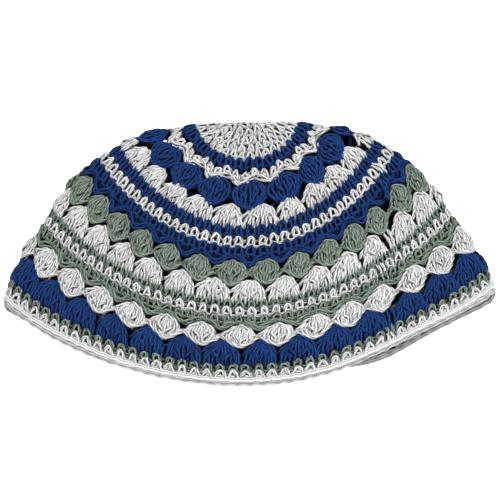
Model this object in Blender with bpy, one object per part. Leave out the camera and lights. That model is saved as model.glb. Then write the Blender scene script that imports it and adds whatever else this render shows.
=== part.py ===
"""A crocheted skullcap, folded in two and lying on a table, one closed ring for each round of yarn.

Metres, +Z up, resting on Z = 0. The crown is at the middle of the fold at +Y and the mouth is
open towards -Y. One layer lies flat on the table and the other rests over it.
"""

import math

import bmesh
import bpy
import numpy as np

# The folded cap
half_width = 0.1180
depth = 0.1610
fold_radius = 0.0060
puff_height = 0.0120

# The crocheted wall
stitch_wall = 0.0030
shell_wall = 0.0036
shell_relief = 0.0010
notch_depth = 0.0040
round_gap = 0.0004
shell_gap = 0.0010

# How far the rim of the lower layer is tucked under the upper one, and how far it slips out
# again round a place on the right. The rim of the upper layer is pulled up on that side.
rim_tuck = 0.0130
rim_show = 0.0062
rim_show_place = 0.0590
rim_show_width = 0.0236
rim_lift = 0.0088
rim_lift_place = 0.0885
rim_lift_width = 0.0413

# Points along one loop: across each layer and round each fold, or on one shell. The loops of the
# crown disc lie at these shares of its radius, the first one close round its pole.
layer_steps = 26
fold_steps = 6
shell_steps = 4
crown_rows = (0.15, 0.50, 1.00)

# Shares along the meridian from crown to rim. Width is of half_width, fold and reach are of depth,
# measured from the crown fold to the side fold and to the middle of the upper layer. Bow is the
# exponent of the line of one round across a layer, puff is of puff_height and bend of fold_radius.
sections = [
    # meridian, width, fold, reach, bow, puff, bend
    (0.00, 0.000, 0.000, 0.000, 0.50, 0.00, 1.00),
    (0.07, 0.110, 0.001, 0.092, 0.56, 0.02, 1.00),
    (0.14, 0.222, 0.004, 0.182, 0.62, 0.24, 1.00),
    (0.23, 0.358, 0.027, 0.304, 0.72, 0.52, 1.00),
    (0.32, 0.466, 0.056, 0.411, 0.79, 0.72, 1.00),
    (0.43, 0.603, 0.112, 0.537, 0.84, 0.90, 1.00),
    (0.54, 0.714, 0.193, 0.642, 0.87, 1.00, 1.00),
    (0.68, 0.822, 0.341, 0.770, 0.88, 0.94, 0.98),
    (0.79, 0.893, 0.444, 0.856, 0.88, 0.78, 0.94),
    (0.90, 0.958, 0.557, 0.928, 0.88, 0.50, 0.87),
    (1.00, 1.000, 0.661, 1.000, 0.88, 0.24, 0.80),
]

# The rounds of yarn from crown to rim. Each ends at a share of the meridian, shells is how many
# fans go round it, and a pierced round is open between its fans.
rounds = [
    # name, yarn, end, shells, pierced
    ("crown_white", "cotton_white", 0.140, 0, False),
    ("round_blue_1", "cotton_blue", 0.182, 0, False),
    ("zigzag_white", "cotton_white", 0.226, 0, False),
    ("shells_blue_1", "cotton_blue", 0.321, 16, False),
    ("shells_white_1", "cotton_white", 0.387, 22, False),
    ("round_blue_2", "cotton_blue", 0.432, 0, False),
    ("round_white_1", "cotton_white", 0.470, 0, False),
    ("round_blue_3", "cotton_blue", 0.536, 0, False),
    ("shells_green", "cotton_green", 0.607, 28, True),
    ("shells_white_2", "cotton_white", 0.679, 28, True),
    ("round_green_1", "cotton_green", 0.706, 0, False),
    ("round_white_2", "cotton_white", 0.741, 0, False),
    ("round_green_2", "cotton_green", 0.790, 0, False),
    ("shells_white_3", "cotton_white", 0.855, 28, True),
    ("shells_blue_2", "cotton_blue", 0.945, 28, True),
    ("round_green_3", "cotton_green", 0.965, 0, False),
    ("rim_white", "cotton_white", 1.000, 0, False),
]

# name: base colour, roughness
yarns = {
    "cotton_white": ((0.700, 0.700, 0.690, 1.0), 0.85),
    "cotton_blue": ((0.014, 0.040, 0.145, 1.0), 0.80),
    "cotton_green": ((0.190, 0.245, 0.200, 1.0), 0.85),
}


def smooth_column(shares, column):
    """A cubic through one column of the sections that never swings past its rows."""
    knots = np.array([row[0] for row in sections])
    values = np.array([row[column] for row in sections])
    slopes = np.diff(values) / np.diff(knots)
    tangents = np.concatenate([slopes[:1], (slopes[1:] + slopes[:-1]) / 2, slopes[-1:]])
    tangents[1:-1][slopes[1:] * slopes[:-1] <= 0] = 0
    cell = np.clip(np.searchsorted(knots, shares, side="right") - 1, 0, len(slopes) - 1)
    width = knots[cell + 1] - knots[cell]
    t = (shares - knots[cell]) / width
    return (
        values[cell] * (1 + 2 * t) * (1 - t) ** 2
        + tangents[cell] * width * t * (1 - t) ** 2
        + values[cell + 1] * t**2 * (3 - 2 * t)
        + tangents[cell + 1] * width * t**2 * (t - 1)
    )


def fold_outline():
    """The fold seen from above, from past the left rim over the crown to past the right rim."""
    shares = np.linspace(0, 1, 241) ** 1.4
    side = half_width * smooth_column(shares, 1)
    back = depth * (0.5 - smooth_column(shares, 2))
    right = np.stack([side, back], axis=-1)
    ahead = right[-1] - right[-2]
    past_rim = right[-1] + ahead / np.linalg.norm(ahead) * 4 * fold_radius
    right = np.concatenate([right, [past_rim]])
    left = right[:0:-1] * [-1, 1]
    return np.concatenate([left, right])


def distance_in(points, outline):
    """How far each point lies in from the fold."""
    start = outline[:-1]
    run = outline[1:] - start
    from_start = points[..., None, :] - start
    along = np.clip((from_start * run).sum(-1) / (run**2).sum(-1), 0, 1)
    return np.linalg.norm(from_start - along[..., None] * run, axis=-1).min(-1)


def bulge(at, place, width):
    """A smooth bump of height 1 round a place, fading over its width."""
    return np.exp(-(((at - place) / width) ** 2))


outline = fold_outline()


def outer_loops(shares, turns):
    """Points of the outer face at meridian shares and turns, which go round the cap from 0 to 1.

    A turn of 0 is the left fold, 0 to 0.5 crosses the upper layer and 0.5 to 1 comes back below.
    """
    shares, turns = np.broadcast_arrays(np.asarray(shares, float), np.asarray(turns, float))
    angle = 2 * math.pi * turns
    across = -np.cos(angle)
    upper = turns % 1.0 < 0.5
    bow = (1 - across**2).clip(0) ** smooth_column(shares, 4)
    side = half_width * smooth_column(shares, 1) * across
    fold = depth * (0.5 - smooth_column(shares, 2))
    reach = depth * (0.5 - smooth_column(shares, 3))
    show = rim_show * bulge(across * half_width, rim_show_place, rim_show_width)
    tuck = (rim_tuck - show) * (1 - across**4)
    lift = rim_lift * bulge(across * half_width, rim_lift_place, rim_lift_width)
    slip = shares**3 * np.where(upper, lift * (1 - across**2).clip(0) ** 0.5, tuck)
    y = fold + (reach - fold) * bow + slip
    inset = distance_in(np.stack([side, y], axis=-1), outline)
    bend = fold_radius * smooth_column(shares, 6)
    round_off = np.sqrt((1 - (1 - (inset / bend).clip(0, 1)) ** 2).clip(0))
    puff = puff_height * smooth_column(shares, 5) * (1 - across**2)
    z = bend + round_off * np.where(upper, bend + puff, -bend)
    return np.stack([side, y, z], axis=-1)


def layer_lengths(share, turns):
    """Distance round the loop from the start of its layer to each of these turns."""
    loop = outer_loops(share, turns)
    return np.concatenate([[0], np.cumsum(np.linalg.norm(np.diff(loop, axis=0), axis=1))])


def even_turns(share, steps):
    """Turns that put the steps at equal distances across each layer at this share."""
    fine = np.linspace(0, 0.5, 721)
    fine = fine - np.sin(4 * math.pi * fine) / (4 * math.pi) * 0.85
    steps = np.asarray(steps) % 1.0
    turns = np.empty(steps.shape)
    for first in (0.0, 0.5):
        length = layer_lengths(share, first + fine.clip(0, 0.4999999))
        here = (steps >= first) & (steps < first + 0.5)
        turns[here] = first + np.interp((steps[here] - first) * 2 * length[-1], length, fine)
    return turns


def plain_steps(share):
    """Steps round a plain loop, closer together where it turns round a fold."""
    length = layer_lengths(share, np.linspace(0, 0.4999999, 721))[-1]
    turn = min(math.pi / 2 * fold_radius / length, 0.4) / 2
    across = np.linspace(0, 1, layer_steps + 1)[:-1]
    across = across - 0.50 * np.sin(2 * math.pi * across) / (2 * math.pi)
    layer = turn + (0.5 - 2 * turn) * across
    fold = np.linspace(0.5 - turn, 0.5 + turn, fold_steps + 1)[:-1]
    return np.concatenate([layer, fold, layer + 0.5, (fold + 0.5) % 1.0])


def wall_directions(shares, turns):
    """The outward direction of the wall at each point."""
    small = 1e-3
    along = outer_loops((shares + small).clip(0, 1), turns)
    along = along - outer_loops((shares - small).clip(small, 1), turns)
    around = outer_loops(shares, turns + small) - outer_loops(shares, turns - small)
    normal = np.cross(along, around)
    return normal / np.linalg.norm(normal, axis=-1, keepdims=True)


def wall_loop(share, height, steps=None, notch=0.0):
    """One loop at this height above the outer face, or inside the wall where it is negative."""
    turns = even_turns(share, plain_steps(share) if steps is None else steps)
    shares = share + np.broadcast_to(notch, turns.shape)
    heights = np.broadcast_to(height, turns.shape)
    flattened = np.where(turns % 1.0 < 0.5, heights, heights.clip(max=0))
    return outer_loops(shares, turns) + wall_directions(shares, turns) * flattened[:, None]


def loft(bm, loops, closed):
    """Joins equal loops one after another, and the last to the first where closed.

    The closing faces start a corner later, so that both sides of a gap split along one diagonal.
    """
    rows = [[bm.verts.new(point) for point in loop] for loop in loops]
    for row, following in zip(rows, rows[1:]):
        for i in range(len(row)):
            j = (i + 1) % len(row)
            bm.faces.new((row[i], row[j], following[j], following[i]))
    if closed:
        for i in range(len(rows[0])):
            j = (i + 1) % len(rows[0])
            bm.faces.new((rows[-1][j], rows[0][j], rows[0][i], rows[-1][i]))
    return rows


def cap_pole(bm, row, point):
    pole = bm.verts.new(point)
    for i in range(len(row)):
        bm.faces.new((pole, row[(i + 1) % len(row)], row[i]))


def add_node(name, bm, yarn, collection):
    bmesh.ops.recalc_face_normals(bm, faces=bm.faces[:])
    mesh = bpy.data.meshes.new(name)
    bm.to_mesh(mesh)
    bm.free()
    mesh.materials.append(yarn)
    mesh.shade_smooth()
    mesh.set_sharp_from_angle(angle=math.radians(50))
    obj = bpy.data.objects.new(name, mesh)
    collection.objects.link(obj)
    return obj


def crown_disc(end):
    """The disc at the middle of the cap, bent over the crown fold."""
    bm = bmesh.new()
    shares = (end - gap_share / 2) * np.array(crown_rows)
    outer = [wall_loop(share, 0) for share in shares]
    inner = [wall_loop(share, -stitch_wall) for share in shares[::-1]]
    rows = loft(bm, outer + inner, False)
    pole = outer_loops(0.0, 0.0)
    cap_pole(bm, rows[0], pole)
    cap_pole(bm, rows[-1], pole - [0, stitch_wall, 0])
    return bm


def plain_round(start, end):
    """A ring of single stitches."""
    bm = bmesh.new()
    start, end = start + gap_share / 2, end - gap_share / 2
    loops = [wall_loop(share, 0) for share in (start, end)]
    loops += [wall_loop(share, -stitch_wall) for share in (end, start)]
    loft(bm, loops, True)
    return bm


def shell_round(start, end, shells, pierced, shift):
    """A ring of fans, thickest down the middle of each and open between them where pierced."""
    bm = bmesh.new()
    steps = (np.arange(shells * shell_steps) / shell_steps + shift) / shells
    middle = 0.5 + 0.5 * np.cos(2 * math.pi * np.arange(shells * shell_steps) / shell_steps)
    notch = (1 - middle) ** 2 * (notch_depth / meridian if pierced else 0)
    start, end = start + shell_share / 2, end - shell_share / 2
    raised = shell_relief * middle
    loops = [wall_loop(start, raised, steps, notch), wall_loop(end, raised, steps)]
    loops += [wall_loop(end, -shell_wall, steps), wall_loop(start, -shell_wall, steps, notch)]
    loft(bm, loops, True)
    return bm


def cotton(name):
    colour, roughness = yarns[name]
    material = bpy.data.materials.new(name)
    material.use_nodes = True
    shader = material.node_tree.nodes["Principled BSDF"]
    shader.inputs["Base Color"].default_value = colour
    shader.inputs["Roughness"].default_value = roughness
    shader.inputs["Metallic"].default_value = 0.0
    return material


for old in list(bpy.data.objects):
    bpy.data.objects.remove(old, do_unlink=True)

# The meridian is measured down the middle of the upper layer, and the gaps are shares of it.
midline = outer_loops(np.linspace(0, 1, 241), 0.25)
meridian = float(np.linalg.norm(np.diff(midline, axis=0), axis=1).sum())
gap_share = round_gap / meridian
shell_share = shell_gap / meridian

kippah = bpy.data.collections.new("kippah")
bpy.context.scene.collection.children.link(kippah)
materials = {name: cotton(name) for name in yarns}

start = 0.0
shift = 0.0
for name, yarn, end, shells, pierced in rounds:
    if start == 0.0:
        body = crown_disc(end)
    elif shells:
        body = shell_round(start, end, shells, pierced, shift)
        shift = 0.5 - shift
    else:
        body = plain_round(start, end)
    add_node(name, body, materials[yarn], kippah)
    start = end
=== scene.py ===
import math

import bpy
import numpy as np
from mathutils import Matrix, Vector


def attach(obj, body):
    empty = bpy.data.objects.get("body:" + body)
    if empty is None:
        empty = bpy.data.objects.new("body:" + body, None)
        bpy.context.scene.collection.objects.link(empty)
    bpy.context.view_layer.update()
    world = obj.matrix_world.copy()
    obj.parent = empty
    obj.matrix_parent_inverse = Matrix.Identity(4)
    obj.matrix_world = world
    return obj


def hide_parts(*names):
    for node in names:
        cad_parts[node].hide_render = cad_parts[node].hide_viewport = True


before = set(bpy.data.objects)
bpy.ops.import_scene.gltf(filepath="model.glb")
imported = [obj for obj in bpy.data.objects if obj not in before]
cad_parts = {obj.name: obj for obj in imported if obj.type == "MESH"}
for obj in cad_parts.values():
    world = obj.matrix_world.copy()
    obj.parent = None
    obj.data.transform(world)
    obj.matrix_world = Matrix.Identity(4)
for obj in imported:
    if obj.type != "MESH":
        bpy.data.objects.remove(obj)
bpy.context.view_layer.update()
rng = np.random.default_rng(18)  # for the small differences between stitches

# The form of the folded cap, in metres
cap = {
    "halfWidth": 0.1180,
    "depth": 0.1610,         # from the top fold down to the middle of the rim
    "foldRadius": 0.0060,
    "puffHeight": 0.0120,    # how far the upper layer is puffed up
    "rimTuck": 0.0130,       # how far the lower rim is tucked in
    "rimShow": 0.0062,       # how far it slips out again on the right
    "showPlace": 0.0590,     # how far right of the middle it does, and how widely
    "showWidth": 0.0236,
    "rimLift": 0.0088,       # how far the upper rim is pulled up on the right
    "liftPlace": 0.0885,
    "liftWidth": 0.0413,
    "foldShift": 0.0214,     # share of the stitches that the fold brings round to the front
}
# Sections from the crown, at 0, to the rim, at 1. Width is a share of the half width. Fold and
# reach say how far down the ends and the middle of the line lie, as shares of the depth, and bow
# how round it is between them. Puff and bend are shares of the puff height and the fold radius.
sectionNames = ["meridian", "width", "fold", "reach", "bow", "puff", "bend"]
sections = np.array([
    (0.00, 0.000, 0.000, 0.000, 0.50, 0.00, 1.00),
    (0.07, 0.110, 0.001, 0.092, 0.56, 0.02, 1.00),
    (0.14, 0.222, 0.004, 0.182, 0.62, 0.24, 1.00),
    (0.23, 0.358, 0.027, 0.304, 0.72, 0.52, 1.00),
    (0.32, 0.466, 0.056, 0.411, 0.79, 0.72, 1.00),
    (0.43, 0.603, 0.112, 0.537, 0.84, 0.90, 1.00),
    (0.54, 0.714, 0.193, 0.642, 0.87, 1.00, 1.00),
    (0.68, 0.822, 0.341, 0.770, 0.88, 0.94, 0.98),
    (0.79, 0.893, 0.444, 0.856, 0.88, 0.78, 0.94),
    (0.90, 0.958, 0.557, 0.928, 0.88, 0.50, 0.87),
    (1.00, 1.000, 0.661, 1.000, 0.88, 0.24, 0.80),
])
# The lookup grid of the outer face
fabric = {
    "rows": 260,             # lines from crown to rim
    "pointsRound": 1024,     # and points round each
    "lastShare": 1.03,       # how far the grid goes on past the rim
    "outlinePoints": 161,    # points of one side of the fold, crowded towards the crown
    "outlineCrowding": 1.4,
    "pastRim": 4,            # how far the fold's line runs on past the rim, in fold radii
    "finePoints": 521,       # points of one layer's line, crowded towards its ends
    "fineCrowding": 0.85,
    "lastTurn": 0.4999999,   # just short of the fold, where the other layer starts
}


def sectionValue(shares, name):
    # a cubic through one column of the sections
    knots = sections[:, 0]
    values = sections[:, sectionNames.index(name)]
    slopes = np.diff(values) / np.diff(knots)
    tangents = np.concatenate([slopes[:1], (slopes[1:] + slopes[:-1]) / 2, slopes[-1:]])
    tangents[1:-1][slopes[1:] * slopes[:-1] <= 0] = 0
    cell = np.clip(np.searchsorted(knots, shares, side="right") - 1, 0, len(slopes) - 1)
    width = knots[cell + 1] - knots[cell]
    t = (shares - knots[cell]) / width
    return (
        values[cell] * (1 + 2 * t) * (1 - t) ** 2
        + tangents[cell] * width * t * (1 - t) ** 2
        + values[cell + 1] * t**2 * (3 - 2 * t)
        + tangents[cell + 1] * width * t**2 * (t - 1)
    )


def foldOutline():
    # the top edge of the folded cap, from the left end over the crown to the right end
    shares = np.linspace(0, 1, fabric["outlinePoints"]) ** fabric["outlineCrowding"]
    side = cap["halfWidth"] * sectionValue(shares, "width")
    back = cap["depth"] * (0.5 - sectionValue(shares, "fold"))
    right = np.stack([side, back], axis=-1)
    ahead = right[-1] - right[-2]
    pastRim = right[-1] + ahead / np.linalg.norm(ahead) * fabric["pastRim"] * cap["foldRadius"]
    right = np.concatenate([right, [pastRim]])
    return np.concatenate([right[:0:-1] * [-1, 1], right])


def distanceIn(points, outline):
    # how far each point lies from the outline
    start = outline[:-1]
    run = outline[1:] - start
    fromStart = points[:, None, :] - start
    along = np.clip((fromStart * run).sum(-1) / (run**2).sum(-1), 0, 1)
    return np.linalg.norm(fromStart - along[..., None] * run, axis=-1).min(-1)


def bulge(at, place, width):
    # a smooth swelling of 1 at its place
    return np.exp(-(((at - cap[place]) / cap[width]) ** 2))


def outerLine(share, turns, outline):
    # points round the outer face: turns 0 to 0.5 cross the upper layer from left to right
    across = -np.cos(2 * math.pi * turns)
    upper = turns % 1.0 < 0.5
    bow = (1 - across**2).clip(0) ** sectionValue(share, "bow")
    side = cap["halfWidth"] * sectionValue(share, "width") * across
    fold = cap["depth"] * (0.5 - sectionValue(share, "fold"))
    reach = cap["depth"] * (0.5 - sectionValue(share, "reach"))
    place = across * cap["halfWidth"]
    tuck = cap["rimTuck"] - cap["rimShow"] * bulge(place, "showPlace", "showWidth")
    tuck = tuck * (1 - across**4)
    lift = cap["rimLift"] * bulge(place, "liftPlace", "liftWidth") * (1 - across**2).clip(0) ** 0.5
    y = fold + (reach - fold) * bow + share**3 * np.where(upper, lift, tuck)
    inset = distanceIn(np.stack([side, y], axis=-1), outline)
    bend = cap["foldRadius"] * sectionValue(share, "bend")
    roundOff = np.sqrt((1 - (1 - (inset / bend).clip(0, 1)) ** 2).clip(0))
    puff = cap["puffHeight"] * sectionValue(share, "puff") * (1 - across**2)
    z = bend + roundOff * np.where(upper, bend + puff, -bend)
    return np.stack([side, y, z], axis=-1)


def buildFabric():
    # places and outward directions of the outer face, at even steps round each line
    outline = foldOutline()
    half = fabric["pointsRound"] // 2
    fine = np.linspace(0, 0.5, fabric["finePoints"])
    crowding = np.sin(4 * math.pi * fine) / (4 * math.pi) * fabric["fineCrowding"]
    fine = (fine - crowding).clip(0, fabric["lastTurn"])
    shares = np.linspace(0, fabric["lastShare"], fabric["rows"])
    places = np.empty((fabric["rows"], 2 * half, 3))
    for i, share in enumerate(shares):
        for layer in (0, 1):
            line = outerLine(np.float64(share), layer / 2 + fine, outline)
            steps = np.linalg.norm(np.diff(line, axis=0), axis=1)
            run = np.concatenate([[0], np.cumsum(steps)])
            even = np.linspace(0, run[-1], half + 1)[:-1]
            for axis in range(3):
                spread = np.interp(even, run, line[:, axis])
                places[i, layer * half:(layer + 1) * half, axis] = spread
    along = np.gradient(places, axis=0)
    around = np.roll(places, -1, axis=1) - np.roll(places, 1, axis=1)
    outward = np.cross(along, around)
    outward[0] = (0, 1, 0)  # the crown itself, where all lines meet
    outward /= np.linalg.norm(outward, axis=-1, keepdims=True).clip(1e-12)
    middle = np.linalg.norm(np.diff(places[:, half // 2], axis=0), axis=1)
    fabric["places"] = places
    fabric["outward"] = outward
    fabric["meridian"] = middle.sum() / fabric["lastShare"]
    print("fabric ready, meridian", round(fabric["meridian"] * 1000, 1), "mm")


def onFabric(shares, turns, heights):
    # places at these heights over the outer face, and its outward directions there
    turns = turns - cap["foldShift"] * np.sin(math.pi * turns) ** 2
    rows = (shares / fabric["lastShare"]).clip(0, 1) * (fabric["rows"] - 1)
    low = rows.astype(int).clip(0, fabric["rows"] - 2)
    up = (rows - low)[..., None]
    steps = (turns % 1.0) * fabric["pointsRound"]
    left = steps.astype(int) % fabric["pointsRound"]
    right = (left + 1) % fabric["pointsRound"]
    over = (steps - np.floor(steps))[..., None]

    def read(grid):
        first = grid[low, left] * (1 - over) + grid[low, right] * over
        second = grid[low + 1, left] * (1 - over) + grid[low + 1, right] * over
        return first * (1 - up) + second * up

    outward = read(fabric["outward"])
    outward /= np.linalg.norm(outward, axis=-1, keepdims=True).clip(1e-9)
    return read(fabric["places"]) + outward * heights[..., None], outward


buildFabric()

yarn = {
    "radius": 0.00122,       # half the thickness of the cotton over its plies
    "plies": 4,
    "plyDepth": 0.30,        # depth of the grooves between plies, as a share of the radius
    "twistLength": 0.0190,   # length over which the plies go once round
    "step": 0.00110,         # length of one facet along the yarn
    "fewestPoints": 5,       # of a strand, however short it is
    "clearance": 0.0005,     # height at which the lowest strands stay over the floor
    "wander": 0.00028,       # how far a strand strays from its place
    "heightWander": 0.10,    # and from its height, in millimetres
    "shadeFrom": -1.3,       # heights in millimetres over which a strand sinks into painted shade
    "shadeTo": -3.1,
    "insideShadeEnd": 0.90,        # share of the meridian where the painted shade on the inside of the cap starts to fade
    "insideShadeFade": 0.08,       # and the share over which it fades out
    "rimStart": 0.985,       # the same for the rim, where strands lose their painted outline shade
    "rimFade": 0.012,
}

# Strands of the stitches, seen from outside with the crown at the top. Across is in widths of a
# stitch and down in heights of its round. Height is in millimetres off the outer face, and girth
# in thicknesses of the yarn.
archPoints = [
    # across, down, height, girth
    (-0.22, 0.96, -2.9, 1.20),
    (-0.24, 0.76, -1.7, 1.62),
    (-0.26, 0.50, -1.1, 1.78),
    (-0.18, 0.27, -0.8, 1.78),
    (0.00, 0.15, -0.9, 1.64),
    (0.18, 0.28, -0.8, 1.78),
    (0.26, 0.52, -1.1, 1.78),
    (0.24, 0.78, -1.7, 1.62),
    (0.22, 0.96, -2.9, 1.20),
]
peakPoints = [
    (-0.38, 1.02, -2.9, 0.95),
    (-0.35, 0.82, -1.7, 1.18),
    (-0.26, 0.52, -1.0, 1.30),
    (-0.13, 0.22, -0.9, 1.28),
    (0.01, 0.05, -1.2, 1.12),
    (0.15, 0.23, -0.9, 1.28),
    (0.27, 0.54, -1.0, 1.30),
    (0.35, 0.84, -1.7, 1.18),
    (0.37, 1.02, -2.9, 0.95),
]
# The strand that closes the holes in a row of arches or peaks
fillPoints = [
    (-0.50, 0.78, -1.8, 1.35),
    (-0.25, 0.74, -1.9, 1.30),
    (0.00, 0.66, -1.3, 1.50),
    (0.25, 0.76, -1.9, 1.30),
]
# The strand that runs round behind a row of shells
backPoints = [
    (-0.50, 0.62, -2.7, 1.0),
    (-0.25, 0.48, -3.0, 1.0),
    (0.00, 0.60, -2.7, 1.0),
    (0.25, 0.72, -3.0, 1.0),
]
# Chain that sags between the tops of two shells
swagPoints = [
    (-0.50, 1.00, -1.2, 1.05),
    (-0.36, 0.80, -1.0, 1.05),
    (-0.18, 0.25, -1.3, 1.00),
    (0.00, 0.00, -1.9, 0.95),
    (0.18, 0.22, -1.3, 1.00),
    (0.36, 0.76, -1.0, 1.05),
]
# The smooth border of a round shell
hemPoints = [
    (-0.50, 0.53, -1.9, 0.85),
    (-0.37, 0.65, -1.1, 0.98),
    (-0.21, 0.85, -0.6, 1.05),
    (0.00, 1.00, -0.5, 1.05),
    (0.20, 0.88, -0.6, 1.05),
    (0.37, 0.67, -1.1, 0.98),
]
# The chain along the rim
edgePoints = [
    (-0.50, 0.50, -1.2, 1.20),
    (-0.25, 0.46, -1.0, 1.20),
    (0.00, 0.50, -1.2, 1.20),
    (0.25, 0.54, -1.4, 1.20),
]
# The strand that climbs from one round to the next where a round is joined
joinPoints = [
    (-0.12, -0.10, -2.2, 0.9),
    (-0.04, 0.15, -0.9, 1.0),
    (0.04, 0.50, -0.6, 1.05),
    (0.06, 0.85, -0.9, 1.0),
    (-0.02, 1.10, -2.2, 0.9),
]

# A shell is a fan of strands that spring from one place on the crown side. Half widths are in
# widths of the shell, at shares of its height. Top drop and low rise curve its two ends. Relief
# is how far its middle stands out and low dive how far its feet go down, both in millimetres.
shells = {
    "heightShares": (0.00, 0.10, 0.25, 0.42, 0.60, 0.80, 1.00),
    "rounded": {
        "halfWidths": (0.08, 0.19, 0.29, 0.35, 0.36, 0.30, 0.21),
        "topDrop": 0.10, "lowRise": 0.10, "relief": 1.9, "lowDive": 0.6,
    },
    "broad": {
        "halfWidths": (0.16, 0.31, 0.42, 0.46, 0.44, 0.36, 0.24),
        "topDrop": 0.10, "lowRise": 0.10, "relief": 1.9, "lowDive": 0.6,
    },
    "footed": {
        "halfWidths": (0.11, 0.21, 0.29, 0.36, 0.42, 0.45, 0.44),
        "topDrop": 0.08, "lowRise": -0.04, "relief": 1.7, "lowDive": 1.5,
    },
    "flared": {
        "halfWidths": (0.08, 0.19, 0.31, 0.40, 0.46, 0.48, 0.45),
        "topDrop": 0.08, "lowRise": -0.04, "relief": 1.7, "lowDive": 1.5,
    },
    "strands": (-0.95, -0.70, -0.46, -0.20, 0.05, 0.31, 0.56, 0.79, 0.97),  # in half widths
    "strandShares": (0.01, 0.09, 0.24, 0.42, 0.60, 0.78, 0.92, 1.04),
    "endHeight": -2.2,       # where the strands of a fan begin and end, in millimetres
    "domeRise": 1.0,         # how far they rise besides the relief
    "domePower": 0.55,       # the lower, the steeper the ends of a fan
    "sideFall": 0.75,        # share of the relief that the sides lack
    "diveFrom": 0.80,        # share of the height from which the feet go down
    "diveRate": 5,           # and the rate that has them all the way down at the end
    "girth": 0.56,           # of a strand at its ends
    "domeGirth": 0.22,       # how much thicker a strand is where it stands out
    "crossings": (
        # place in half widths, down, slant
        (-0.34, 0.56, 0.8),
        (0.40, 0.60, -0.8),
    ),
    "crossHeight": -1.2,     # of a strand that lies over the others, besides the relief
    "crossPoints": (
        # across, down, height, girth
        (-0.105, -0.13, -1.20, 0.60),
        (-0.060, -0.07, 0.35, 0.78),
        (0.020, 0.03, 0.65, 0.82),
        (0.080, 0.11, 0.30, 0.78),
        (0.110, 0.19, -1.20, 0.60),
    ),
    "borderStart": ((-0.10, 0.02, -2.0, 0.90), (0.03, -0.03, -1.2, 1.00)),
    "borderPoints": (
        # which half width, across beside it, down, height, girth
        (1, 0.03, 0.09, -1.0, 1.05),
        (2, 0.05, 0.25, -1.1, 1.05),
        (3, 0.04, 0.44, -1.3, 1.02),
        (4, 0.00, 0.62, -1.7, 0.98),
        (5, -0.05, 0.80, -2.6, 0.90),
    ),
    "tailPoints": (
        (-0.02, 0.00, -2.0, 0.90),
        (-0.16, 0.08, -1.1, 1.00),
        (-0.31, 0.22, -1.1, 1.02),
        (-0.43, 0.37, -1.3, 1.02),
        (-0.54, 0.48, -2.1, 0.92),
    ),
}


def shellStrands(form):
    # every strand of one shell as rows of across, down, height and girth
    fan = shells[form]
    widths = fan["halfWidths"]
    strands = []
    for place in shells["strands"]:
        top = fan["topDrop"] * place**2
        low = 1 - fan["lowRise"] * place**2
        rise = shells["domeRise"] + fan["relief"] * (1 - shells["sideFall"] * place**2)
        points = []
        for t in shells["strandShares"]:
            across = place * np.interp(t, shells["heightShares"], widths)
            dome = math.sin(math.pi * min(max(t, 0.0), 1.0)) ** shells["domePower"]
            dive = max(0.0, t - shells["diveFrom"]) * shells["diveRate"] * fan["lowDive"]
            height = shells["endHeight"] + rise * dome - dive
            girth = shells["girth"] + shells["domeGirth"] * dome
            points.append((across, top + (low - top) * t, height, girth))
        strands.append(points)
    for place, down, slant in shells["crossings"]:
        middle = place * np.interp(down, shells["heightShares"], widths)
        lift = shells["crossHeight"] + fan["relief"] * (1 - shells["sideFall"] * place**2)
        strands.append([
            (middle + over * slant, down + under, lift + height, girth)
            for over, under, height, girth in shells["crossPoints"]
        ])
    # a smooth strand goes over the top and down the right side, and another down the left side,
    # where it runs out to a tail
    border = list(shells["borderStart"])
    border += [
        (widths[which] + beside, down, height, girth)
        for which, beside, down, height, girth in shells["borderPoints"]
    ]
    return strands + [border, shells["tailPoints"]]


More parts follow.
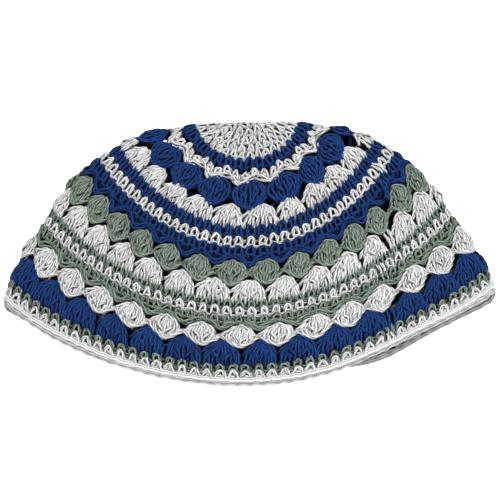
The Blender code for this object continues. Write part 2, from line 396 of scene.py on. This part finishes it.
# Every course of stitches. Start and end are shares of the meridian. Seam is where the round is
# joined, as a share of the way round from the left fold, and slack is the width of the joining
# strands in stitches. A course that bends round the shells below it dips between them by a share
# of the meridian, as many times as there are shells.
courseKeys = ("piece", "stitch", "count", "start", "end", "seam", "slack", "dip", "dips")
courses = [dict(zip(courseKeys, row)) for row in (
    ("crown_white", "peak", 7, 0.004, 0.036, 0.300, 0.0, 0.0, 0),
    ("crown_white", "peak", 14, 0.030, 0.064, 0.310, 0.0, 0.0, 0),
    ("crown_white", "peak", 22, 0.058, 0.092, 0.500, 0.0, 0.0, 0),
    ("crown_white", "peak", 30, 0.086, 0.120, 0.492, 0.0, 0.0, 0),
    ("crown_white", "peak", 38, 0.114, 0.148, 0.495, 0.0, 0.0, 0),
    ("round_blue_1", "arch", 36, 0.136, 0.186, 0.505, 0.3, 0.0, 0),
    ("zigzag_white", "arch", 48, 0.174, 0.202, 0.499, 0.3, 0.016, 16),
    ("zigzag_white", "swag", 16, 0.196, 0.224, 0.499, 0.1, 0.0, 0),
    ("shells_blue_1", "broad", 16, 0.221, 0.328, 0.484, 0.1, 0.0, 0),
    ("shells_white_1", "footed", 22, 0.312, 0.394, 0.486, 0.2, 0.0, 0),
    ("round_blue_2", "arch", 72, 0.374, 0.434, 0.4690, 0.8, 0.0, 0),
    ("round_white_1", "arch", 72, 0.418, 0.472, 0.4690, 0.8, 0.0, 0),
    ("round_blue_3", "arch", 72, 0.456, 0.512, 0.4553, 0.8, 0.0, 0),
    ("round_blue_3", "swag", 28, 0.494, 0.530, 0.4421, 0.2, 0.0, 0),
    ("shells_green", "rounded", 28, 0.526, 0.618, 0.4421, 0.2, 0.0, 0),
    ("shells_white_2", "footed", 28, 0.602, 0.690, 0.4250, 0.3, 0.0, 0),
    ("round_green_1", "arch", 84, 0.670, 0.713, 0.4160, 0.8, 0.0, 0),
    ("round_white_2", "arch", 84, 0.696, 0.745, 0.4042, 0.8, 0.0, 0),
    ("round_green_2", "arch", 84, 0.731, 0.774, 0.4042, 0.8, 0.0, 0),
    ("round_green_2", "swag", 28, 0.754, 0.784, 0.4143, 0.1, 0.0, 0),
    ("shells_white_3", "rounded", 28, 0.780, 0.868, 0.4143, 0.1, 0.0, 0),
    ("shells_blue_2", "flared", 28, 0.850, 0.954, 0.4000, 0.3, 0.0, 0),
    ("round_green_3", "arch", 84, 0.936, 0.975, 0.3985, 0.8, 0.0, 0),
    ("rim_white", "peak", 84, 0.962, 0.996, 0.3985, 0.8, 0.0, 0),
    ("rim_white", "edge", 84, 0.990, 1.008, 0.396, 0.0, 0.0, 0),
)]
# What varies from course to course, and the strands that run round beside the main ones
rounds = {
    "sizeSpread": 0.07,      # how much the stitches differ in width
    "joinSlack": 0.25,       # slack above which a join shows strands of its own
    "joinSteps": (-0.25, 0.25),    # where they lie, as shares of the slack
    "shellStray": 0.8,       # how much each kind of strand strays, against a stitch
    "ringStray": 0.7,
    "swagStray": 1.3,
    "edgeStray": 0.4,
    "fillAgain": (-0.46, 0.35),    # heights of the round down, millimetres deeper
    "swagAgain": (0.0105, 0.2),    # from here on, shares of the meridian down
    "swagBack": (-0.006, 0.0),
    "edgeAgain": (0.011, 0.8),
    "hemAgain": (-0.0085, 0.2),
    "hemBack": (-0.022, 0.6),
    "shellBack": (0.03, 0.0),
}

# The pieces that are made with each yarn
yarnPieces = {
    "cotton_white": (
        "crown_white", "zigzag_white", "shells_white_1", "round_white_1",
        "shells_white_2", "round_white_2", "shells_white_3", "rim_white",
    ),
    "cotton_blue": (
        "round_blue_1", "shells_blue_1", "round_blue_2", "round_blue_3", "shells_blue_2",
    ),
    "cotton_green": ("shells_green", "round_green_1", "round_green_2", "round_green_3"),
}


def smoothing(knots, count, closed):
    # weights of a smooth curve through the control points
    weights = np.zeros((count, knots))
    last = knots if closed else knots - 1
    for row, t in enumerate(np.linspace(0, last, count, endpoint=not closed)):
        i = min(int(t), last - 1)
        f = t - i
        parts = (
            (-f + 2 * f**2 - f**3) / 2,
            (2 - 5 * f**2 + 3 * f**3) / 2,
            (f + 4 * f**2 - 3 * f**3) / 2,
            (f**3 - f**2) / 2,
        )
        for k, part in zip(range(i - 1, i + 3), parts):
            weights[row, k % knots if closed else min(max(k, 0), knots - 1)] += part
    return weights


class Skein:
    # the strands of one piece, gathered as chains of points
    def __init__(self):
        self.places, self.outward, self.edges = [], [], []
        names = ("twist", "girth", "tone", "sunkShade", "inner", "rim")
        self.values = {name: [] for name in names}
        self.total = 0
        self.metres = 0.0

    def add(self, shares, turns, heights, girths, closed=False, twist=1.0):
        # each array holds one row of control points for each strand
        knots = shares.shape[1]
        rough = onFabric(shares, turns, heights / 1000)[0]
        length = np.linalg.norm(np.diff(rough, axis=1), axis=-1).sum(1).mean()
        fewest = knots if closed else yarn["fewestPoints"]
        count = max(fewest, int(round(length / yarn["step"])) + 1)
        weights = smoothing(knots, count, closed)
        whole = np.arange(knots) / knots if closed else 0
        shares, turns, heights, girths = (
            values @ weights.T for values in (shares, turns - whole, heights, girths)
        )
        if closed:
            turns = turns + np.arange(count) / count
        places, outward = onFabric(shares, turns, heights / 1000)
        lowest = yarn["radius"] * girths + yarn["clearance"]
        places[..., 2] = np.maximum(places[..., 2], lowest)
        steps = np.linalg.norm(np.diff(places, axis=1), axis=-1)
        run = np.concatenate([np.zeros((len(places), 1)), np.cumsum(steps, axis=1)], axis=1)
        turn = twist * 2 * math.pi / yarn["twistLength"]
        index = self.total + np.arange(run.size).reshape(-1, count)
        edges = np.stack([index[:, :-1], index[:, 1:]], axis=-1).reshape(-1, 2)
        if closed:
            plyAngle = 2 * math.pi / yarn["plies"]
            turn = round(run[0, -1] * turn / plyAngle) * plyAngle / run[0, -1]
            edges = np.concatenate([edges, np.stack([index[:, -1], index[:, 0]], axis=-1)])
        phase = rng.uniform(0, 2 * math.pi, (len(places), 1))
        tone = rng.normal(0, 1, (len(places), 1)) + np.zeros(run.shape)
        # painted shade: the deeper a strand sinks into the fabric, the darker
        sunkShade = (heights - yarn["shadeFrom"]) / (yarn["shadeTo"] - yarn["shadeFrom"])
        # painted shade on the inside of the cap, fading out towards the rim
        inner = 1 - ((shares - yarn["insideShadeEnd"]) / yarn["insideShadeFade"]).clip(0, 1)
        # where the painted outline shade of strands gives way near the rim
        rim = ((shares - yarn["rimStart"]) / yarn["rimFade"]).clip(0, 1)
        self.places.append(places.reshape(-1, 3))
        self.outward.append(outward.reshape(-1, 3))
        self.edges.append(edges)
        grown = {"twist": run * turn + phase, "girth": girths, "tone": tone,
                 "sunkShade": sunkShade.clip(0, 1), "inner": inner, "rim": rim}
        for name, values in grown.items():
            self.values[name].append(values.ravel())
        self.total += index.size
        self.metres += run[:, -1].sum()


def strayed(skein, course, points, turns, pitch, size, stray, closed=False, twist=1.0,
            beside=(0.0, 0.0)):
    # the same strand in every slot of a course, none quite like the next
    across, down, height, girth = np.array(points, float).T
    start, end, dip, dips, seam = (course[k] for k in ("start", "end", "dip", "dips", "seam"))
    lower, deeper = beside
    shape = (len(turns), len(across))
    wander = yarn["wander"] * stray
    sideways = across * size * pitch + rng.normal(0, wander / course["round"], shape)
    places = turns[:, None] + sideways
    shares = start + (end - start) * down + lower
    shares = shares + rng.normal(0, wander / fabric["meridian"], shape)
    if dips:
        shares = shares + dip * (1 + np.cos(2 * math.pi * dips * (places - seam))) / 2
    heights = height - deeper + rng.normal(0, yarn["heightWander"] * stray, (len(turns), 1))
    heights = heights + np.zeros(shape)
    girths = np.broadcast_to(girth, shape)
    if closed:
        shares, places, heights, girths = (
            values.reshape(1, -1) for values in (shares, places, heights, girths)
        )
    skein.add(shares, places, heights, girths, closed, twist)


def addCourse(skein, course):
    count, seam, slack, stitch = (course[k] for k in ("count", "seam", "slack", "stitch"))
    pitch = 1 / (count + slack)
    turns = seam + pitch * (slack / 2 + 0.5 + np.arange(count))
    size = rng.normal(1, rounds["sizeSpread"], (count, 1))

    def strand(points, stray=1.0):
        strayed(skein, course, points, turns, pitch, size, stray)

    def ring(points, beside=(0.0, 0.0), stray=rounds["ringStray"], twist=1.0):
        strayed(skein, course, points, turns, pitch, 1.0, stray, True, twist, beside)

    if stitch in ("arch", "peak"):
        strand(archPoints if stitch == "arch" else peakPoints)
        ring(fillPoints)
        lower, deeper = rounds["fillAgain"]
        ring(fillPoints, (lower * (course["end"] - course["start"]), deeper))
    elif stitch == "swag":
        ring(swagPoints, stray=rounds["swagStray"])
        ring(swagPoints, rounds["swagAgain"], rounds["swagStray"])
        ring(backPoints, rounds["swagBack"])
    elif stitch == "edge":
        ring(edgePoints, stray=rounds["edgeStray"], twist=0.0)
        ring(edgePoints, rounds["edgeAgain"], rounds["edgeStray"], 0.0)
    else:
        for points in shellStrands(stitch):
            strand(points, rounds["shellStray"])
        if stitch in ("rounded", "broad"):
            ring(hemPoints)
            ring(hemPoints, rounds["hemAgain"])
            ring(backPoints, rounds["hemBack"])
        ring(backPoints, rounds["shellBack"])
    if slack > rounds["joinSlack"]:
        for step in rounds["joinSteps"]:
            place = np.array([seam + step * slack * pitch])
            strayed(skein, course, joinPoints, place, pitch, 1.0, 1.0)


def yarnTree():
    # turns chains of points into twisted yarn with a ply profile
    tree = bpy.data.node_groups.new("spunYarn", "GeometryNodeTree")
    face = tree.interface
    face.new_socket("Geometry", in_out="INPUT", socket_type="NodeSocketGeometry")
    for name, kind in (("Radius", "Float"), ("Plies", "Int"), ("Ply Depth", "Float"),
                       ("Cotton", "Material")):
        face.new_socket(name, in_out="INPUT", socket_type="NodeSocket" + kind)
    face.new_socket("Geometry", in_out="OUTPUT", socket_type="NodeSocketGeometry")

    def node(kind, settings, values):
        made = tree.nodes.new(kind)
        for key, value in settings.items():
            setattr(made, key, value)
        for key, value in values.items():
            if isinstance(value, bpy.types.NodeSocket):
                tree.links.new(value, made.inputs[key])
            else:
                made.inputs[key].default_value = value
        return made.outputs

    def named(name, kind="FLOAT"):
        made = node("GeometryNodeInputNamedAttribute", {"data_type": kind}, {"Name": name})
        return made["Attribute"]

    def store(geometry, name, value):
        return node("GeometryNodeStoreNamedAttribute", {"data_type": "FLOAT", "domain": "POINT"},
                    {"Geometry": geometry, "Name": name, "Value": value})["Geometry"]

    given = tree.nodes.new("NodeGroupInput").outputs
    raised = node("ShaderNodeMath", {"operation": "SUBTRACT"}, {0: 1.0, 1: given["Ply Depth"]})[0]
    inner = node("ShaderNodeMath", {"operation": "MULTIPLY"}, {0: given["Radius"], 1: raised})[0]
    star = node("GeometryNodeCurveStar", {}, {
        "Points": given["Plies"], "Inner Radius": inner, "Outer Radius": given["Radius"]})["Curve"]
    index = node("GeometryNodeInputIndex", {}, {})[0]
    odd = node("ShaderNodeMath", {"operation": "MODULO"}, {0: index, 1: 2.0})[0]
    # groove vertices of the ply profile, where the materials paint shade between plies
    profile = store(star, "grooveShade", odd)
    line = node("GeometryNodeMeshToCurve", {}, {"Mesh": given["Geometry"]})["Curve"]
    line = node("GeometryNodeSetCurveRadius", {}, {
        "Curve": line, "Radius": named("girth")})["Curve"]
    line = node("GeometryNodeSetCurveTilt", {}, {
        "Curve": line, "Tilt": named("twist")})["Curve"]
    tube = node("GeometryNodeCurveToMesh", {}, {
        "Curve": line, "Profile Curve": profile, "Fill Caps": True})["Mesh"]
    # how far each face turns outwards, for painted shade on strand flanks and the cap's inside
    facing = node("ShaderNodeVectorMath", {"operation": "DOT_PRODUCT"}, {
        0: node("GeometryNodeInputNormal", {}, {})["Normal"],
        1: named("outward", "FLOAT_VECTOR")})["Value"]
    tube = store(tube, "facing", facing)
    tube = node("GeometryNodeSetShadeSmooth", {}, {"Geometry": tube})["Geometry"]
    tube = node("GeometryNodeRealizeInstances", {}, {"Geometry": tube})["Geometry"]
    tube = node("GeometryNodeSetMaterial", {}, {
        "Geometry": tube, "Material": given["Cotton"]})["Geometry"]
    tree.links.new(tube, tree.nodes.new("NodeGroupOutput").inputs["Geometry"])
    return tree


class Shade:
    # a number in a material, with arithmetic that adds Math nodes
    def __init__(self, socket):
        self.socket = socket

    def math(self, operation, other=None, swapped=False, clamp=False):
        made = self.socket.id_data.nodes.new("ShaderNodeMath")
        made.operation = operation
        made.use_clamp = clamp
        pair = (other, self) if swapped else (self, other)
        for slot, value in zip(made.inputs, pair):
            if isinstance(value, Shade):
                self.socket.id_data.links.new(value.socket, slot)
            elif value is not None:
                slot.default_value = value
        return Shade(made.outputs[0])

    def __add__(self, other):
        return self.math("ADD", other)

    def __radd__(self, other):
        return self.math("ADD", other, True)

    def __sub__(self, other):
        return self.math("SUBTRACT", other)

    def __rsub__(self, other):
        return self.math("SUBTRACT", other, True)

    def __mul__(self, other):
        return self.math("MULTIPLY", other)

    def __rmul__(self, other):
        return self.math("MULTIPLY", other, True)

    def __abs__(self):
        return self.math("ABSOLUTE")

    def __pow__(self, other):
        return self.math("POWER", other)

    def within(self):
        # kept from 0 to 1
        return self.math("ADD", 0.0, clamp=True)


class Paint:
    # adds nodes to one material
    def __init__(self, name):
        self.material = bpy.data.materials.new(name)
        self.material.use_nodes = True
        self.tree = self.material.node_tree
        self.tree.nodes.clear()

    def node(self, kind, output, settings, values):
        made = self.tree.nodes.new(kind)
        for key, value in settings.items():
            setattr(made, key, value)
        for key, value in values.items():
            if isinstance(value, Shade):
                self.tree.links.new(value.socket, made.inputs[key])
            else:
                made.inputs[key].default_value = value
        return Shade(made.outputs[output])

    def attribute(self, name):
        return self.node("ShaderNodeAttribute", "Fac", {"attribute_name": name}, {})

    def finish(self, surface):
        output = self.tree.nodes.new("ShaderNodeOutputMaterial")
        self.tree.links.new(surface.socket, output.inputs["Surface"])
        return self.material


# Groove is how dark the painted shade between plies is. The key after it is how far outwards a
# face has to turn, from 0 to 1, before it leaves the painted shade that outlines its strand.
# The dark colour is what painted shade darkens each cotton towards.
cottons = {
    "cotton_white": {
        "light": (0.88, 0.885, 0.88, 1), "shadeColour": (0.012, 0.010, 0.009, 1),
        "grooveShade": 0.86, "outlineShadeFrom": 0.36, "roughness": 0.90,
    },
    "cotton_blue": {
        "light": (0.0160, 0.064, 0.250, 1), "shadeColour": (0.0006, 0.002, 0.014, 1),
        "grooveShade": 0.96, "outlineShadeFrom": 0.44, "roughness": 0.85,
    },
    "cotton_green": {
        "light": (0.300, 0.373, 0.312, 1), "shadeColour": (0.003, 0.006, 0.004, 1),
        "grooveShade": 0.99, "outlineShadeFrom": 0.44, "roughness": 0.88,
    },
}
shading = {
    "grooveShadeEdge": 3.2,     # the higher, the thinner the painted shade line between plies
    "outlineShadeEdge": 2.0,      # the higher, the thinner the painted shade that outlines a strand
    "side": 0.02,          # how light the flanks of a strand stay under their painted outline shade
    "sunkShade": 0.99,          # how much painted shade darkens a strand as it sinks into the fabric
    "inside": 0.88,        # and how much painted shade darkens the inside of the cap
    "insideShadeEdge": 4.0,     # the higher, the sharper the painted shade on the inside begins
    "fibreScale": 1500.0,  # fine fuzz of the cotton
    "fibreDetail": 3.0,
    "fibreRoughness": 0.6,
    "fibreTone": 0.45,
    "cloudScale": 60.0,    # wide, soft differences in tone
    "cloudDetail": 2.0,
    "cloudTone": 0.16,
    "stitchTone": 0.07,    # difference in tone from strand to strand
    "bumpStrength": 0.35,
    "bumpDistance": 0.0003,
    "specular": 0.12,
}


def cottonPaint(name):
    cotton = cottons[name]
    paint = Paint(name)
    spot = paint.node("ShaderNodeTexCoord", "Object", {}, {})
    fibre = paint.node("ShaderNodeTexNoise", "Fac", {}, {
        "Vector": spot, "Scale": shading["fibreScale"], "Detail": shading["fibreDetail"],
        "Roughness": shading["fibreRoughness"]})
    cloud = paint.node("ShaderNodeTexNoise", "Fac", {}, {
        "Vector": spot, "Scale": shading["cloudScale"], "Detail": shading["cloudDetail"]})
    facing = paint.attribute("facing")
    # painted shade: a dark outline on the flanks of every strand, lifted near the rim
    turned = (abs(facing) - cotton["outlineShadeFrom"]) * shading["outlineShadeEdge"]
    outlineUnshaded = (turned + paint.attribute("rim")).within()
    # painted shade on faces that turn towards the inside of the cap
    insideShade = (facing * -shading["insideShadeEdge"]).within() * paint.attribute("inner")
    # random tone of the cotton, times painted shade between plies, on flanks, deep down and inside
    light = 1.0 + (fibre - 0.5) * shading["fibreTone"] + (cloud - 0.5) * shading["cloudTone"]
    light = light + paint.attribute("tone") * shading["stitchTone"]
    light = light * (1.0 - paint.attribute("grooveShade") ** shading["grooveShadeEdge"] * cotton["grooveShade"])
    light = light * (outlineUnshaded * (1.0 - shading["side"]) + shading["side"])
    light = light * (1.0 - paint.attribute("sunkShade") * shading["sunkShade"])
    light = light * (1.0 - insideShade * shading["inside"])
    # from the painted shade colour up to the cotton's own colour
    colour = paint.node("ShaderNodeMix", 2, {"data_type": "RGBA"}, {
        0: light, 6: cotton["shadeColour"], 7: cotton["light"]})
    bump = paint.node("ShaderNodeBump", "Normal", {}, {
        "Height": fibre, "Strength": shading["bumpStrength"],
        "Distance": shading["bumpDistance"]})
    return paint.finish(paint.node("ShaderNodeBsdfPrincipled", 0, {}, {
        "Base Color": colour, "Roughness": cotton["roughness"], "Normal": bump,
        "Specular IOR Level": shading["specular"]}))


def spin(name, skein, tree, cotton):
    # the gathered strands become one plain mesh of yarn
    mesh = bpy.data.meshes.new(name + "_lines")
    places = np.concatenate(skein.places)
    edges = np.concatenate(skein.edges)
    mesh.vertices.add(len(places))
    mesh.vertices.foreach_set("co", places.astype(np.float32).ravel())
    mesh.edges.add(len(edges))
    mesh.edges.foreach_set("vertices", edges.astype(np.int32).ravel())
    for key, values in skein.values.items():
        layer = mesh.attributes.new(key, "FLOAT", "POINT")
        layer.data.foreach_set("value", np.concatenate(values).astype(np.float32))
    layer = mesh.attributes.new("outward", "FLOAT_VECTOR", "POINT")
    outward = np.concatenate(skein.outward).astype(np.float32)
    layer.data.foreach_set("vector", outward.ravel())
    mesh.update()
    lines = bpy.data.objects.new(name + "_lines", mesh)
    bpy.context.scene.collection.objects.link(lines)
    modifier = lines.modifiers.new("spunYarn", "NODES")
    modifier.node_group = tree
    given = {"Radius": yarn["radius"], "Plies": yarn["plies"], "Ply Depth": yarn["plyDepth"],
             "Cotton": cotton}
    for item in tree.interface.items_tree:
        if item.name in given and item.in_out == "INPUT":
            modifier[item.identifier] = given[item.name]
    graph = bpy.context.evaluated_depsgraph_get()
    spun = bpy.data.meshes.new_from_object(lines.evaluated_get(graph))
    spun.name = name + "_yarn"
    bpy.data.objects.remove(lines)
    bpy.data.meshes.remove(mesh)
    piece = bpy.data.objects.new(name + "_yarn", spun)
    bpy.context.scene.collection.objects.link(piece)
    return piece


def roundLength(course):
    # length of the way round where a course starts
    line = int(course["start"] / fabric["lastShare"] * fabric["rows"])
    return np.linalg.norm(np.diff(fabric["places"][line], axis=0), axis=1).sum()


def buildPiece(pieceName, tree, paint):
    skein = Skein()
    for course in courses:
        if course["piece"] == pieceName:
            course["round"] = roundLength(course)
            addCourse(skein, course)
    made = spin(pieceName, skein, tree, paint)
    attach(made, "root")
    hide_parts(pieceName)
    triangles = sum(len(face.vertices) - 2 for face in made.data.polygons)
    print(pieceName, triangles, "triangles", round(skein.metres, 2), "m of yarn")
    return triangles, skein.metres


def buildCap():
    paints = {name: cottonPaint(name) for name in cottons}
    tree = yarnTree()
    built = [
        buildPiece(pieceName, tree, paints[pieceYarn])
        for pieceYarn, pieceNames in yarnPieces.items() for pieceName in pieceNames
    ]
    triangles, metres = (sum(column) for column in zip(*built))
    print("all pieces", triangles, "triangles", round(metres, 1), "m of yarn")


studio = {
    "floorSize": 8.0,
    "floorColour": (0.95, 0.95, 0.95, 1),
    "floorRoughness": 0.9,
    "floorGlow": 0.76,
    "shadowUnderCap": (0.099, 0.062),   # half sizes of a painted shadow on the floor under the cap, dark and without glow
    "shadowShift": 0.002,          # and how far back its middle lies
    "shadowEdge": 4.0,             # the higher, the sharper it ends
    # colour of the painted shadow under the cap
    "shadowColour": (0.05, 0.05, 0.05, 1),
    "worldStrength": 0.40,
    "lights": (
        # name, watts, size, place
        ("key", 9.6, 0.40, (0.12, 0.12, 1.15)),
        ("front", 3.4, 0.60, (0.45, -0.80, 0.70)),
    ),
}


def buildStudio():
    paint = Paint("studioFloor")
    spot = paint.node("ShaderNodeTexCoord", "Object", {}, {})
    # painted shadow: under the cap the floor is dark and does not glow, fading out at its edge
    wide, deep = (1 / half**2 for half in studio["shadowUnderCap"])
    across, ahead = (
        paint.node("ShaderNodeSeparateXYZ", axis, {}, {"Vector": spot}) for axis in (0, 1)
    )
    ahead = ahead - studio["shadowShift"]
    clear = across * across * wide + ahead * ahead * deep - 1.0
    clear = (clear * studio["shadowEdge"]).within()
    colour, glow = (
        paint.node("ShaderNodeMix", 2, {"data_type": "RGBA"}, {
            0: clear, 6: shadowed, 7: studio["floorColour"]})
        for shadowed in (studio["shadowColour"], (0, 0, 0, 1))
    )
    surface = paint.node("ShaderNodeBsdfPrincipled", 0, {}, {
        "Base Color": colour, "Roughness": studio["floorRoughness"],
        "Emission Color": glow, "Emission Strength": studio["floorGlow"]})
    bpy.ops.mesh.primitive_plane_add(size=studio["floorSize"])
    floor = bpy.context.object
    floor.name = "floor"
    floor.data.materials.append(paint.finish(surface))
    for name, watts, size, place in studio["lights"]:
        light = bpy.data.lights.new(name, "AREA")
        light.energy = watts
        light.size = size
        lamp = bpy.data.objects.new(name, light)
        bpy.context.scene.collection.objects.link(lamp)
        lamp.location = place
        lamp.rotation_euler = (-lamp.location).to_track_quat("-Z", "Y").to_euler()
    world = bpy.data.worlds.new("softbox")
    bpy.context.scene.world = world
    world.use_nodes = True
    sky = world.node_tree.nodes["Background"].inputs
    sky["Color"].default_value = (1, 1, 1, 1)
    sky["Strength"].default_value = studio["worldStrength"]
    bpy.context.scene.view_settings.view_transform = "Standard"
    print("studio ready")


view = {
    "elevation": 52.5,        # degrees
    "roll": -1.1,
    "distance": 0.90,
    "nearest": 0.01,
    "sensor": 36.0,           # millimetres
    "aim": (0.0006, -0.0020, 0.0080),
    "acrossFrame": 0.2425,    # width of the photograph's frame at the cap
}


def buildCamera():
    data = bpy.data.cameras.new("photo")
    data.sensor_width = view["sensor"]
    data.lens = view["sensor"] * view["distance"] / view["acrossFrame"]
    data.clip_start = view["nearest"]
    camera = bpy.data.objects.new("photo", data)
    bpy.context.scene.collection.objects.link(camera)
    tilt = math.radians(view["elevation"])
    back = Vector((0, -math.cos(tilt), math.sin(tilt)))
    right = Matrix.Rotation(math.radians(view["roll"]), 3, back) @ Vector((1, 0, 0))
    turned = Matrix((right, back.cross(right), back)).transposed().to_4x4()
    turned.translation = Vector(view["aim"]) + back * view["distance"]
    camera.matrix_world = turned
    bpy.context.scene.camera = camera
    print("camera ready")


buildCap()
buildStudio()
buildCamera()
